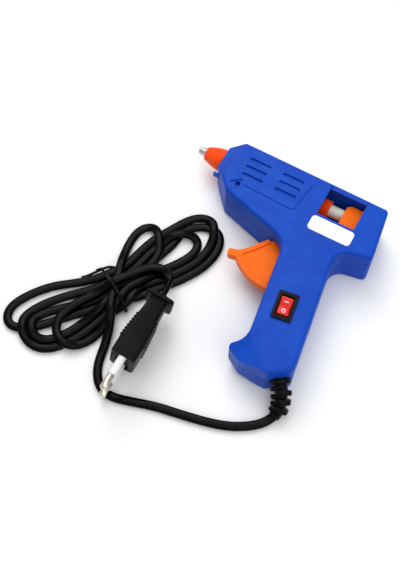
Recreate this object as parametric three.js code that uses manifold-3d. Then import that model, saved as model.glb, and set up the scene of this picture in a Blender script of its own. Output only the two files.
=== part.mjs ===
// A small corded hot glue gun for 7 mm sticks, lying on its right side, with its mains lead tied
// in a hank and a two-pin plug. Millimetres, +Z up.
//
// The gun is drawn in its own frame: x runs from the nozzle to the rear along the barrel, y from
// the grip to the barrel's top, z from the right side to the left, and the barrel's axis is
// y = z = 0. The group at the end puts that frame on the table, with the right side down.

import * as THREE from "three";
import { mergeVertices } from "three/addons/utils/BufferGeometryUtils.js";
import Module from "manifold-3d";

const wasm = await Module();
wasm.setup();

// ---- Driving dimensions ----
const THICKNESS = 26.5; // whole gun, left side to right side
const HALF = THICKNESS / 2;
const WALL = 2; // shell wall
const GAP = 0.3; // between pieces that touch
const EDGE = 2; // rounding of the shell's outer edges
const EDGE_STEPS = 4;
const NOZZLE_TIP = -1.4; // x of the nozzle's end
const REAR = 114; // x of the rear bottom corner, before it is rounded
const REARMOST = 113.7; // x of that corner once rounded
const TOP = 9.3; // y of the barrel's top at the nose
const BASE = -105; // y of the grip's base
const GRIP_TILT = THREE.MathUtils.degToRad(8); // the grip leans back by this much

const STICK_RADIUS = 3.5;
const STICK_BORE = 3.8;
const STICK_FRONT = 41;
const STICK_REAR = 107;
const CHAMBER_RADIUS = 6;
const CHAMBER_REAR = 57;
const SLEEVE_RADIUS = 5.2;
const SLEEVE_REAR = 80;

const PIVOT = new THREE.Vector2(70.5, -29.8); // the trigger's axis
const ARM = 19.8; // pivot to the peg that drives the carriage
const GUARD_RADIUS = 30.5; // the trigger's front rim is an arc about the pivot
const TRIGGER_HALF = 2.6; // half its thickness
const WEB_HALF = 1.7; // the same between its rims
const PEG_RADIUS = 1.9;
const POST_RADIUS = 2; // shell post that the trigger turns on

const SWITCH = new THREE.Vector3(86.3, -69.5, HALF); // centre of the switch on the left side
const BEZEL = { width: 10.6, length: 15.8, proud: 1.2 };
const ROCKER = { width: 6.4, length: 9.6, axle: -2.4 }; // axle: its height from the side face

// Shallow marks moulded in each shell's side.
const VENT = { length: 12.6, width: 2, depth: 1.1, radius: 0.9 };
const VENT_COLUMNS = [30, 50];
const VENT_ROWS = [0.6, -4.6, -9.8];
const GROOVE = { width: 0.7, depth: 0.5 };
const GROOVE_LINE = [
  [34.4, -16.1],
  [62.6, -17.4],
  [64.2, -17.1],
  [65.1, -15.6],
  [67.1, 1.8],
];
const SOCKET_RECESS = [
  [26.2, -17.3, 0.6],
  [33.4, -20.8, 1],
  [32.6, -12.2, 1],
];
const SOCKET_RECESS_DEPTH = 0.8;
const SOCKET = { x: 31, y: -16.4, radius: 1.5, depth: 3.2 }; // for a wire stand, left side

// The window in the left side over the carriage. Above it the wall is only set back a little.
const WINDOW = { front: 76.5, rear: 98, low: -12.6, high: 5.2, setBack: 1.2 };

const SCREW_PLACES = [
  [32, -16.8],
  [55.5, -22],
  [107, -16.5],
  [84, -94],
  [91.2, -42],
];
const BOSS_RADIUS = 3;
const SCREW_RADIUS = 1.2;
const HEAD_RADIUS = 2.4;
const HEAD_DEPTH = 4;
const PILOT_END = 8.2; // z where the screws' holes in the left shell end

const CORD_WIDTH = 4.8; // flat two-core lead
const CORD_HEIGHT = 3;
const HANK_HEIGHT = 8;
const PLUG_LENGTH = 40;
const PLUG_THICKNESS = 13.6;
const PLUG_HEIGHT = 25;
const PIN_PITCH = 19;
const PIN_RADIUS = 2;

// The shell's outline, counter-clockwise from the nose: x, y and corner radius.
const OUTLINE = [
  [15, 8.2, 2.2],
  [15, -9.4, 2.2],
  [27, -22.8, 3],
  [68.6, -35.2, 11],
  [77.2, -93.2, 9],
  [68.8, -99.4, 2.2],
  [79, BASE, 3],
  [94.3, BASE, 2.2],
  [105.6, -97.6, 2.2],
  [95.2, -27, 8],
  [REAR, -23.6, 2.2],
  [109.6, 7.8, 2.4],
  [22, TOP, 2.2],
];

// ---- Materials ----
function finish(color, roughness, metalness = 0) {
  return new THREE.MeshStandardMaterial({ color, roughness, metalness });
}
const BLUE = finish(0x2c5cc4, 0.45);
const ORANGE = finish(0xff7a10, 0.4);
const RED_SILICONE = finish(0xff4a10, 0.55);
const BLACK = finish(0x141414, 0.4);
const ROCKER_RED = finish(0xe62e24, 0.3);
const WHITE = finish(0xf4f4f0, 0.5);
const GLUE = finish(0xd8d6c8, 0.35);
const ALUMINIUM = finish(0xc4c6c8, 0.4, 1);
const STEEL = finish(0xb8bcc0, 0.35, 1);
const BRASS = finish(0xd8b860, 0.35, 1);
const NICKEL = finish(0xe4e0d0, 0.25, 1);
const CERAMIC = finish(0x6a6a6e, 0.8);
const FILM = finish(0xc88a30, 0.5);
const WIRE_BROWN = finish(0x7a4a24, 0.5);
const WIRE_GREY = finish(0xd8d8d8, 0.5);
const WIRE_BLUE = finish(0x2a5ab0, 0.5);

// ---- Solids: three.js geometry turned into manifold-3d bodies, for joining and cutting ----
function solid(geometry) {
  const loose = geometry.index ? geometry.toNonIndexed() : geometry;
  const bare = new THREE.BufferGeometry();
  bare.setAttribute("position", loose.getAttribute("position"));
  const merged = mergeVertices(bare, 1e-4);
  const triVerts = new Uint32Array(merged.index.array);
  const vertProperties = merged.attributes.position.array;
  const made = new wasm.Manifold(new wasm.Mesh({ numProp: 3, vertProperties, triVerts }));
  if (made.volume() > 0) return made;
  for (let i = 0; i < triVerts.length; i += 3) {
    [triVerts[i + 1], triVerts[i + 2]] = [triVerts[i + 2], triVerts[i + 1]];
  }
  return new wasm.Manifold(new wasm.Mesh({ numProp: 3, vertProperties, triVerts }));
}

function geometryOf(body) {
  const { vertProperties, triVerts } = body.getMesh();
  const geometry = new THREE.BufferGeometry();
  geometry.setAttribute("position", new THREE.BufferAttribute(vertProperties, 3));
  geometry.setIndex(new THREE.BufferAttribute(triVerts, 1));
  const flat = geometry.toNonIndexed();
  flat.computeVertexNormals();
  return flat;
}

function piece(name, body, material) {
  const mesh = new THREE.Mesh(geometryOf(body), material);
  mesh.name = name;
  return mesh;
}

function join(bodies) {
  return bodies.reduce((whole, body) => whole.add(body));
}

function cut(body, tools) {
  return tools.reduce((rest, tool) => rest.subtract(tool), body);
}

// ---- Shapes ----
function block(low, high) {
  const size = high.map((value, i) => value - low[i]);
  const box = new THREE.BoxGeometry(...size);
  box.translate(...low.map((value, i) => value + size[i] / 2));
  return solid(box);
}

// A cylinder from one point to another.
function rod(from, to, radius, sides = 16) {
  const start = new THREE.Vector3(...from);
  const span = new THREE.Vector3(...to).sub(start);
  const turn = new THREE.Quaternion().setFromUnitVectors(
    new THREE.Vector3(0, 1, 0),
    span.clone().normalize(),
  );
  const cylinder = new THREE.CylinderGeometry(radius, radius, span.length(), sides);
  cylinder.applyQuaternion(turn);
  cylinder.translate(...start.addScaledVector(span, 0.5).toArray());
  return solid(cylinder);
}

function tube(from, to, outer, inner, sides = 20) {
  const along = new THREE.Vector3(...to).sub(new THREE.Vector3(...from)).normalize();
  const before = new THREE.Vector3(...from).sub(along).toArray();
  const after = new THREE.Vector3(...to).add(along).toArray();
  return rod(from, to, outer, sides).subtract(rod(before, after, inner, sides));
}

// A body turned about the barrel's axis from [radius, x] pairs.
function turned(profile, sides = 24) {
  const points = profile.map(([radius, x]) => new THREE.Vector2(radius, x));
  const lathe = new THREE.LatheGeometry(points, sides);
  lathe.rotateZ(-Math.PI / 2);
  return solid(lathe);
}

function prism(points, low, high, bevel = 0, bevelSteps = 2) {
  const geometry = new THREE.ExtrudeGeometry(new THREE.Shape(points), {
    depth: high - low - 2 * bevel,
    steps: 1,
    bevelEnabled: bevel > 0,
    bevelSize: bevel,
    bevelThickness: bevel,
    bevelOffset: -bevel,
    bevelSegments: bevelSteps,
  });
  geometry.translate(0, 0, low + bevel);
  return solid(geometry);
}

function polygon(pairs) {
  return pairs.map(([x, y]) => new THREE.Vector2(x, y));
}

// The corners of a closed outline as points, each corner rounded by its own radius.
function rounded(corners, arcSteps = 5) {
  const points = [];
  corners.forEach(([x, y, radius], i) => {
    const corner = new THREE.Vector2(x, y);
    const [bx, by] = corners[(i + corners.length - 1) % corners.length];
    const [ax, ay] = corners[(i + 1) % corners.length];
    const back = new THREE.Vector2(bx, by).sub(corner).normalize();
    const ahead = new THREE.Vector2(ax, ay).sub(corner).normalize();
    const half = Math.acos(THREE.MathUtils.clamp(back.dot(ahead), -1, 1)) / 2;
    const bisector = back.clone().add(ahead).normalize();
    const centre = corner.clone().addScaledVector(bisector, radius / Math.sin(half));
    const start = corner.clone().addScaledVector(back, radius / Math.tan(half)).sub(centre);
    const end = corner.clone().addScaledVector(ahead, radius / Math.tan(half)).sub(centre);
    let sweep = end.angle() - start.angle();
    if (sweep > Math.PI) sweep -= 2 * Math.PI;
    if (sweep < -Math.PI) sweep += 2 * Math.PI;
    for (let step = 0; step <= arcSteps; step++) {
      const angle = (sweep * step) / arcSteps;
      points.push(start.clone().rotateAround(new THREE.Vector2(), angle).add(centre));
    }
  });
  return points;
}

// The same corners moved inwards by a distance, for a counter-clockwise outline.
function inset(corners, distance) {
  return corners.map(([x, y, radius], i) => {
    const corner = new THREE.Vector2(x, y);
    const [bx, by] = corners[(i + corners.length - 1) % corners.length];
    const [ax, ay] = corners[(i + 1) % corners.length];
    const arriving = corner.clone().sub(new THREE.Vector2(bx, by)).normalize();
    const leaving = new THREE.Vector2(ax, ay).sub(corner).normalize();
    const turn = arriving.cross(leaving);
    const inwards = new THREE.Vector2(-arriving.y, arriving.x);
    const nextInwards = new THREE.Vector2(-leaving.y, leaving.x);
    const shift = inwards.clone().add(nextInwards);
    shift.multiplyScalar(distance / (1 + inwards.dot(nextInwards)));
    const moved = corner.add(shift);
    const size = turn > 0 ? Math.max(radius - distance, 0.4) : radius + distance;
    return [moved.x, moved.y, size];
  });
}

// Everything beyond the plane through three points, on the side away from the keep point.
function beyond(a, b, c, keep, clearance = 0) {
  const size = 80;
  const plane = new THREE.Plane().setFromCoplanarPoints(
    new THREE.Vector3(...a),
    new THREE.Vector3(...b),
    new THREE.Vector3(...c),
  );
  if (plane.distanceToPoint(new THREE.Vector3(...keep)) > 0) plane.negate();
  const box = new THREE.BoxGeometry(size, size, size);
  box.translate(0, 0, size / 2 - clearance);
  box.applyQuaternion(
    new THREE.Quaternion().setFromUnitVectors(new THREE.Vector3(0, 0, 1), plane.normal),
  );
  box.translate(...a);
  return solid(box);
}

// A rectangle with its long side leaning with the grip, about a point on the side.
function onGrip(body, centre) {
  const turn = new THREE.Matrix4().makeRotationZ(GRIP_TILT);
  turn.setPosition(centre.x, centre.y, centre.z);
  return body.transform(turn.elements);
}

// A round wire or a flat lead along a smooth curve.
function swept(points, section, steps) {
  const curve = new THREE.CatmullRomCurve3(points.map((p) => new THREE.Vector3(...p)));
  const geometry = new THREE.ExtrudeGeometry(section, {
    steps,
    extrudePath: curve,
    bevelEnabled: false,
  });
  return solid(geometry);
}

function oval(across, high, sides = 8) {
  const points = [];
  for (let i = 0; i < sides; i++) {
    const angle = ((i + 0.5) * 2 * Math.PI) / sides;
    points.push(new THREE.Vector2((across / 2) * Math.cos(angle), (high / 2) * Math.sin(angle)));
  }
  return new THREE.Shape(points);
}

// ---- Shells ----

// The gun's whole outer body, shrunk by a distance.
function gunBody(shrink) {
  const side = HALF - shrink;
  const edge = shrink > 0 ? 0 : EDGE;
  let body = prism(rounded(inset(OUTLINE, shrink)), -side, side, edge, EDGE_STEPS);
  const inside = [60, -20, 0];
  for (const s of [1, -1]) {
    const nose = [[22, 0, s * HALF], [22, 5, s * HALF], [15, 0, s * 7.4]];
    const corner = [[24, TOP, s * 12.5], [14.8, TOP, s * 1.5], [14.8, 4.6, s * 7.4]];
    const toe = [[95, -106, s * HALF], [74, -80, s * HALF], [69, -99.5, s * 6.5]];
    const toeRise = [[98.1, -103.5, s * HALF], [77.1, -77.5, s * HALF], [71.3, -82.2, s * 11.8]];
    for (const [a, b, c] of [nose, corner, toe, toeRise]) {
      body = body.subtract(beyond(a, b, c, inside, shrink));
    }
  }
  return body;
}

// A shallow cut of a flat outline in the side face, s = 1 for the left shell.
function sideCut(points, depth, s) {
  const low = Math.min(s * (HALF - depth), s * (HALF + 1));
  return prism(points, low, low + depth + 1);
}

function ventSlot(x, y, s) {
  const { length, width, depth, radius } = VENT;
  const corners = [
    [x, y - width / 2, radius],
    [x + length, y - width / 2, radius],
    [x + length, y + width / 2, radius],
    [x, y + width / 2, radius],
  ];
  return sideCut(rounded(corners, 3), depth, s);
}

function ventSlots(s) {
  return VENT_COLUMNS.flatMap((x) => VENT_ROWS.map((y) => ventSlot(x, y, s)));
}

// A line of even width: its left edge, then its right edge backwards.
function stroke(pairs, width) {
  const points = polygon(pairs);
  const left = [];
  const right = [];
  points.forEach((point, i) => {
    const before = points[Math.max(i - 1, 0)];
    const after = points[Math.min(i + 1, points.length - 1)];
    const along = after.clone().sub(before).normalize();
    const across = new THREE.Vector2(-along.y, along.x).multiplyScalar(width / 2);
    left.push(point.clone().add(across));
    right.push(point.clone().sub(across));
  });
  return [...right, ...left.reverse()];
}

function grooves(s) {
  return [
    sideCut(stroke(GROOVE_LINE, GROOVE.width), GROOVE.depth, s),
    sideCut(rounded(SOCKET_RECESS, 4), SOCKET_RECESS_DEPTH, s),
  ];
}

// Where the lead's strain relief leaves: a point in the cut corner of the base and its direction.
const RELIEF_START = new THREE.Vector3(100.2, -100, 0);
const RELIEF_WAY = new THREE.Vector3(0.56, -0.83, 0).normalize();
const RELIEF_END = new THREE.Vector3(105.6, -116.3, -10.4);

// Holes that both shells share.
function sharedOpenings() {
  return [
    rod([10, 0, 0], [18.3, 0, 0], 6.8, 24),
    rod([104, 0, 0], [120, 0, 0], 4.6, 20),
    block([50, -62.5, -TRIGGER_HALF - 0.6], [79, -31.5, TRIGGER_HALF + 0.6]),
    reliefBody(GAP),
  ];
}

// Ribs and rails that stand on the side wall and reach the middle, s = 1 for the left shell.
function innerRibs(s) {
  const deep = HALF - WALL + 0.1;
  const ribs = [
    block([23.6, -13, 0], [25.2, 7.2, deep]),
    block([52.4, -6.9, 0], [54, 7, deep]),
    block([78, -15.6, 0], [103, -14.3, deep]),
  ];
  const room = rod([20, 0, 0], [56, 0, 0], CHAMBER_RADIUS + GAP, 24);
  const mirrored = ribs.map((rib) => (s > 0 ? rib : rib.mirror([0, 0, 1])));
  return mirrored.map((rib) => rib.subtract(room));
}

function bosses(s) {
  const deep = s * (HALF - WALL + 0.1);
  return SCREW_PLACES.map(([x, y]) => rod([x, y, 0], [x, y, deep], BOSS_RADIUS, 12));
}

// The post that the trigger turns on, with a wider foot that keeps the trigger in the middle.
function pivotPost(s) {
  const deep = s * (HALF - WALL + 0.1);
  return rod([PIVOT.x, PIVOT.y, 0], [PIVOT.x, PIVOT.y, deep], POST_RADIUS, 12).add(
    rod([PIVOT.x, PIVOT.y, s * (TRIGGER_HALF + GAP)], [PIVOT.x, PIVOT.y, deep], 3.4, 12),
  );
}

function shellHalf(s) {
  const far = 70;
  const low = s > 0 ? GAP / 2 : -far;
  const side = block([-20, -130, low], [130, 30, low + far - GAP / 2]);
  const hollow = gunBody(0).subtract(gunBody(WALL));
  const fittings = join([...innerRibs(s), ...bosses(s), pivotPost(s)]);
  const withFittings = hollow.add(fittings.intersect(gunBody(1)));
  const cuts = [...sharedOpenings(), ...ventSlots(s), ...grooves(s)];
  return cut(withFittings.intersect(side), cuts);
}

function leftShell() {
  const { front, rear, low, high, setBack } = WINDOW;
  const window = block([front, low, -1], [rear, high, HALF + 1]);
  const lintel = block([front, high - 0.1, HALF - setBack], [rear, TOP + 1, HALF + 1]);
  const switchHole = onGrip(
    block([-4.6, -7.1, -6], [4.6, 7.1, 6]),
    new THREE.Vector3(SWITCH.x, SWITCH.y, HALF),
  );
  const { x, y, radius, depth } = SOCKET;
  const standSocket = rod([x, y, HALF - depth], [x, y, HALF + 1], radius, 16);
  const pilots = SCREW_PLACES.map(([screwX, screwY]) => {
    return rod([screwX, screwY, -1], [screwX, screwY, PILOT_END], SCREW_RADIUS + GAP, 10);
  });
  const noseLug = block([13.8, -12.2, 1], [18, -10.8, 4]);
  const holes = [window, lintel, switchHole, standSocket, ...pilots];
  return piece("left_shell", cut(shellHalf(1).add(noseLug), holes), BLUE);
}

function rightShell() {
  const holes = SCREW_PLACES.flatMap(([x, y]) => [
    rod([x, y, 1], [x, y, -HALF - 1], SCREW_RADIUS + GAP, 10),
    rod([x, y, -HALF + HEAD_DEPTH], [x, y, -HALF - 1], HEAD_RADIUS + GAP, 14),
  ]);
  return piece("right_shell", cut(shellHalf(-1), holes), BLUE);
}

// A self-tapping screw, its head sunk in the right shell and its point in the left one.
function screw(index) {
  const [x, y] = SCREW_PLACES[index];
  const seat = -HALF + HEAD_DEPTH - GAP;
  const head = rod([x, y, seat - 1.8], [x, y, seat], HEAD_RADIUS, 14);
  const shank = rod([x, y, seat - 0.5], [x, y, 7.6], SCREW_RADIUS, 10);
  const cross = [
    block([x - 1.4, y - 0.3, seat - 3], [x + 1.4, y + 0.3, seat - 0.9]),
    block([x - 0.3, y - 1.4, seat - 3], [x + 0.3, y + 1.4, seat - 0.9]),
  ];
  return piece(`screw_${index + 1}`, cut(head.add(shank), cross), STEEL);
}

// A blank rating label, stuck on the left side beside the window.
function label() {
  const corners = [
    [75.4, -23.2, 2],
    [99.8, -23.2, 2],
    [99.8, -14.2, 2],
    [75.4, -14.2, 2],
  ];
  return piece("label", prism(rounded(corners, 4), HALF + 0.05, HALF + 0.2), WHITE);
}

// ---- Heating ----
function nozzle() {
  const profile = [
    [0.75, NOZZLE_TIP],
    [1.9, NOZZLE_TIP],
    [2.8, 2.8],
    [3, 3.4],
    [3, 16.2],
    [2.7, 16.2],
    [2.7, 20],
    [1.2, 20],
    [1.2, 4],
    [0.75, 2],
    [0.75, NOZZLE_TIP],
  ];
  return piece("nozzle", turned(profile, 18), ALUMINIUM);
}

// The silicone cover: an ogive that bulges to the shell's front hole.
function nozzleCover() {
  const front = 3.3;
  const rear = 16.2;
  const inner = 3 + GAP;
  const profile = [[inner, front], [inner + 0.4, front]];
  const steps = 6;
  for (let i = 1; i <= steps; i++) {
    const t = i / steps;
    profile.push([3.8 + 2.6 * Math.sin((t * Math.PI) / 2), front + 10.4 * t]);
  }
  profile.push([6.4, rear], [inner, rear], [inner, front]);
  return piece("nozzle_cover", turned(profile), RED_SILICONE);
}

function heatChamber() {
  const neck = 5;
  const profile = [
    [3, 16.5],
    [neck, 16.5],
    [neck, 22],
    [CHAMBER_RADIUS, 22.4],
    [CHAMBER_RADIUS, CHAMBER_REAR],
    [STICK_BORE, CHAMBER_REAR],
    [STICK_BORE, 31],
    [1.5, 25],
    [1.5, 20.3],
    [3, 20.3],
    [3, 16.5],
  ];
  const heaterSeat = block([31, -7, -5.2], [49, -4.6, 5.2]);
  const bore = rod([31, 0, 0], [60, 0, 0], STICK_BORE, 24);
  return piece("heat_chamber", turned(profile).add(heaterSeat.subtract(bore)), ALUMINIUM);
}

function chamberCollar() {
  return piece("chamber_collar", tube([18.6, 0, 0], [21.7, 0, 0], 6.3, 5.3, 20), CERAMIC);
}

// A flat layer of the heater stack under the chamber.
function layer(name, top, thickness, halfWidth, from, to, material) {
  const body = block([from, top - thickness, -halfWidth], [to, top, halfWidth]);
  return piece(name, body, material);
}

// Electrode, ceramic heater, electrode and insulating film, pressed on the chamber by the clip.
function heaterStack() {
  return [
    layer("electrode_upper", -7.3, 0.5, 4.6, 30, 50, BRASS),
    layer("ptc_heater", -8.1, 2.2, 4.2, 33, 47, CERAMIC),
    layer("electrode_lower", -10.6, 0.5, 4.6, 30, 51.5, BRASS),
    layer("insulating_film", -11.4, 0.4, 5.4, 31, 49, FILM),
  ];
}

// The steel clip: open at the top, it hooks over the chamber's shoulders.
function heaterClip() {
  const out = 8;
  const thick = 0.7;
  const outline = polygon([
    [-out, -12.8],
    [out, -12.8],
    [out, 1.5],
    [out - 1.6, 3.2],
    [out - 2.1, 2.7],
    [out - thick, 1.2],
    [out - thick, -12.1],
    [thick - out, -12.1],
    [thick - out, 1.2],
    [2.1 - out, 2.7],
    [1.6 - out, 3.2],
    [-out, 1.5],
  ]);
  const clip = prism(outline, 34, 46);
  const turn = new THREE.Matrix4().makeBasis(
    new THREE.Vector3(0, 0, 1),
    new THREE.Vector3(0, 1, 0),
    new THREE.Vector3(-1, 0, 0),
  );
  turn.multiply(new THREE.Matrix4().makeTranslation(0, 0, -80));
  return piece("heater_clip", clip.transform(turn.elements), STEEL);
}

function inletSleeve() {
  const start = [CHAMBER_REAR + GAP, 0, 0];
  return piece("inlet_sleeve", tube(start, [SLEEVE_REAR, 0, 0], SLEEVE_RADIUS, 3.9), RED_SILICONE);
}

function sleeveClip() {
  const ring = tube([60, 0, 0], [64, 0, 0], 6.1, SLEEVE_RADIUS + GAP, 20);
  return piece("sleeve_clip", ring, STEEL);
}

function glueStick() {
  return piece("glue_stick", rod([STICK_FRONT, 0, 0], [STICK_REAR, 0, 0], STICK_RADIUS, 20), GLUE);
}

// ---- Feed ----

// The carriage grips the stick behind the sleeve; its bar runs forward to the trigger's peg.
function carriage() {
  const half = 5.5;
  const profile = polygon([
    [88.3, -14],
    [102, -14],
    [102, 4.8],
    [90.3, 4.8],
    [88.3, 3],
  ]);
  const slot = block([68.3, -20, -9], [72.7, -7.6, 9]);
  const bar = block([64.5, -11.8, -3], [89, -6.8, 3]);
  const bore = rod([80, 0, 0], [110, 0, 0], STICK_RADIUS + GAP, 20);
  const body = prism(profile, -half, half).add(bar.subtract(slot));
  return piece("carriage", body.subtract(bore), ORANGE);
}

// An arc about the pivot, as points relative to it, angles in degrees.
function arcPoints(radius, from, to, steps) {
  const points = [];
  for (let i = 0; i <= steps; i++) {
    const angle = THREE.MathUtils.degToRad(from + ((to - from) * i) / steps);
    points.push([PIVOT.x + radius * Math.cos(angle), PIVOT.y + radius * Math.sin(angle)]);
  }
  return points;
}

function trigger() {
  const front = arcPoints(GUARD_RADIUS, 222, 277, 8);
  const innerArc = arcPoints(GUARD_RADIUS - 2.6, 277, 222, 8);
  const rim = prism(polygon([...front, ...innerArc]), -TRIGGER_HALF, TRIGGER_HALF);
  const hook = [
    [50.6, -46.4, 1.2],
    [51.8, -50.6, 1.2],
    [43.6, -52.2, 1.7],
    [43.4, -48.4, 1.7],
  ];
  const topRim = [
    [48.2, -47.4],
    [53.2, -42.2],
    [57, -37],
    [59.6, -33.6],
    [61.4, -34.6],
    [58.8, -38.6],
    [55, -43.8],
    [50.2, -49.2],
  ];
  const web = [
    ...arcPoints(GUARD_RADIUS - 1.4, 222, 277, 8),
    [74.6, -40],
    [74.2, -30],
    [68, -26],
    [61, -34],
    [55, -42.6],
  ];
  const arm = [
    [66.6, -30],
    [67.6, -16],
    [69.4, -13],
    [71.6, -13],
    [73.4, -16],
    [74.4, -30],
  ];
  const neck = [
    [69.5, -13.5],
    [71.5, -13.5],
    [71.5, -10],
    [69.5, -10],
  ];
  const peg = [PIVOT.x, PIVOT.y + ARM];
  const parts = [
    rim,
    prism(rounded(hook, 4), -TRIGGER_HALF, TRIGGER_HALF),
    prism(polygon(topRim), -TRIGGER_HALF, TRIGGER_HALF),
    prism(polygon(web), -WEB_HALF, WEB_HALF),
    rod([PIVOT.x, PIVOT.y, -TRIGGER_HALF], [PIVOT.x, PIVOT.y, TRIGGER_HALF], 4.4, 16),
    prism(polygon(arm), -TRIGGER_HALF, TRIGGER_HALF),
    prism(polygon(neck), -TRIGGER_HALF, TRIGGER_HALF),
    rod([...peg, -TRIGGER_HALF], [...peg, TRIGGER_HALF], PEG_RADIUS, 12),
  ];
  const bore = rod([PIVOT.x, PIVOT.y, -9], [PIVOT.x, PIVOT.y, 9], POST_RADIUS + GAP, 12);
  return piece("trigger", join(parts).subtract(bore), ORANGE);
}

// The torsion spring round the left post's foot, one leg on the trigger and one on the shell.
function triggerSpring() {
  const turns = 3;
  const radius = 4.2;
  const pitch = 1.25;
  const start = TRIGGER_HALF + 1;
  const points = [[PIVOT.x - 1, PIVOT.y + 13, start]];
  const perTurn = 12;
  for (let i = 0; i <= turns * perTurn; i++) {
    const angle = Math.PI - (i * 2 * Math.PI) / perTurn;
    const z = start + (pitch * i) / perTurn;
    points.push([PIVOT.x + radius * Math.cos(angle), PIVOT.y + radius * Math.sin(angle), z]);
  }
  points.push([PIVOT.x - 3, PIVOT.y + 13, start + pitch * turns]);
  return piece("trigger_spring", swept(points, oval(0.8, 0.8, 6), 76), STEEL);
}

// ---- Switch ----
function switchBody() {
  const { width, length, proud } = BEZEL;
  const bezel = block([-width / 2, -length / 2, GAP], [width / 2, length / 2, proud]);
  const box = block([-4.3, -6.8, -11.5], [4.3, 6.8, GAP + 0.1]);
  const recess = block(
    [-ROCKER.width / 2 - GAP, -ROCKER.length / 2 - 1, -6],
    [ROCKER.width / 2 + GAP, ROCKER.length / 2 + 1, 5],
  );
  const bearing = rod([-4, 0, ROCKER.axle], [4, 0, ROCKER.axle], 1.1, 10);
  return piece("switch_body", onGrip(cut(bezel.add(box), [recess, bearing]), SWITCH), BLACK);
}

// The seesaw rocker, at rest with its lower end pressed in. Two faces meet in a shallow valley
// over the axle.
function rocker() {
  const half = ROCKER.length / 2;
  const side = polygon([
    [-half, -1.1],
    [-half + 0.9, -4.4],
    [half - 0.9, -4.4],
    [half, -1.1],
    [half, 1.55],
    [0, -0.1],
    [-half, 0.32],
  ]);
  const turn = new THREE.Matrix4().makeBasis(
    new THREE.Vector3(0, 1, 0),
    new THREE.Vector3(0, 0, 1),
    new THREE.Vector3(1, 0, 0),
  );
  const bar = prism(side, -ROCKER.width / 2, ROCKER.width / 2).transform(turn.elements);
  const axle = rod([-3.8, 0, ROCKER.axle], [3.8, 0, ROCKER.axle], 0.8, 10);
  return piece("rocker", onGrip(bar.add(axle), SWITCH), ROCKER_RED);
}

function switchTerminal(index) {
  const y = index === 0 ? 3.4 : -3.4;
  const blade = block([-1.6, y - 0.4, -17.5], [1.6, y + 0.4, -11.5 - GAP]);
  return piece(`switch_terminal_${index + 1}`, onGrip(blade, SWITCH), BRASS);
}

// ---- Wiring inside the grip ----
function wire(name, points, material) {
  return piece(name, swept(points, oval(1.6, 1.6, 6), 22), material);
}

function wiring() {
  const live = [
    [93.6, -91.5, -1.2],
    [92.6, -86, -4.4],
    [89, -78.6, -7],
    [86.8, -72.9, -5.6],
  ];
  const switched = [
    [85.8, -66.1, -5.6],
    [84, -59, -7],
    [80.4, -46, -7.2],
    [77.4, -32, -7.2],
    [72, -19, -7.2],
    [64, -12.4, -7],
    [57, -10.8, -6.4],
    [52.6, -10.8, -5.6],
  ];
  const neutral = [
    [91.2, -90, -2.6],
    [88, -82, -9.2],
    [84, -66, -9.8],
    [82, -50, -9.8],
    [79.4, -33, -9.8],
    [74, -17.5, -9.8],
    [66, -9.4, -9.6],
    [57, -8.2, -8.8],
    [51.2, -8.4, -6.2],
  ];
  return [
    wire("live_wire", live, WIRE_BROWN),
    wire("switched_wire", switched, WIRE_GREY),
    wire("neutral_wire", neutral, WIRE_BLUE),
  ];
}

// The cord clamp, a bar with two screws that holds the lead's cores inside the grip.
function cordClamp() {
  const bar = block([-5.4, -1.8, 3.4], [5.4, 1.8, 5.6]);
  const holes = [-4, 4].map((x) => rod([x, 0, 2], [x, 0, 8], 1.3, 10));
  return onGripBase("cord_clamp", cut(bar, holes), BLACK);
}

function clampScrew(index) {
  const x = index === 0 ? -4 : 4;
  const shank = rod([x, 0, -1], [x, 0, 6.4], 1, 10);
  const head = rod([x, 0, 5.9], [x, 0, 7.4], 1.9, 12);
  return onGripBase(`clamp_screw_${index + 1}`, shank.add(head), STEEL);
}

function onGripBase(name, body, material) {
  return piece(name, onGrip(body, new THREE.Vector3(94.4, -87, 0)), material);
}

// ---- Lead and plug, in the table's frame ----

// The gun's frame in the table's frame.
const GUN_PLACE = new THREE.Vector3(
  -(NOZZLE_TIP + REARMOST) / 2,
  -(TOP + BASE) / 2,
  HALF,
);

function reliefCurve() {
  return new THREE.CubicBezierCurve3(
    RELIEF_START.clone().addScaledVector(RELIEF_WAY, -6),
    RELIEF_START.clone().addScaledVector(RELIEF_WAY, 7),
    new THREE.Vector3(108, -110, -8),
    RELIEF_END,
  );
}

// Moves a body of revolution about +Y onto a curve, from its start to its end.
function bentAlong(geometry, length, curve) {
  const frames = 24;
  const { normals, binormals } = curve.computeFrenetFrames(frames, false);
  const position = geometry.getAttribute("position");
  const point = new THREE.Vector3();
  for (let i = 0; i < position.count; i++) {
    point.fromBufferAttribute(position, i);
    const t = THREE.MathUtils.clamp(point.y / length, 0, 1);
    const at = curve.getPointAt(t);
    const low = Math.min(Math.floor(t * frames), frames - 1);
    const blend = t * frames - low;
    const side = normals[low].clone().lerp(normals[low + 1], blend);
    const other = binormals[low].clone().lerp(binormals[low + 1], blend);
    at.addScaledVector(side.normalize(), point.x).addScaledVector(other.normalize(), point.z);
    position.setXYZ(i, at.x, at.y, at.z);
  }
  return geometry;
}

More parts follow.
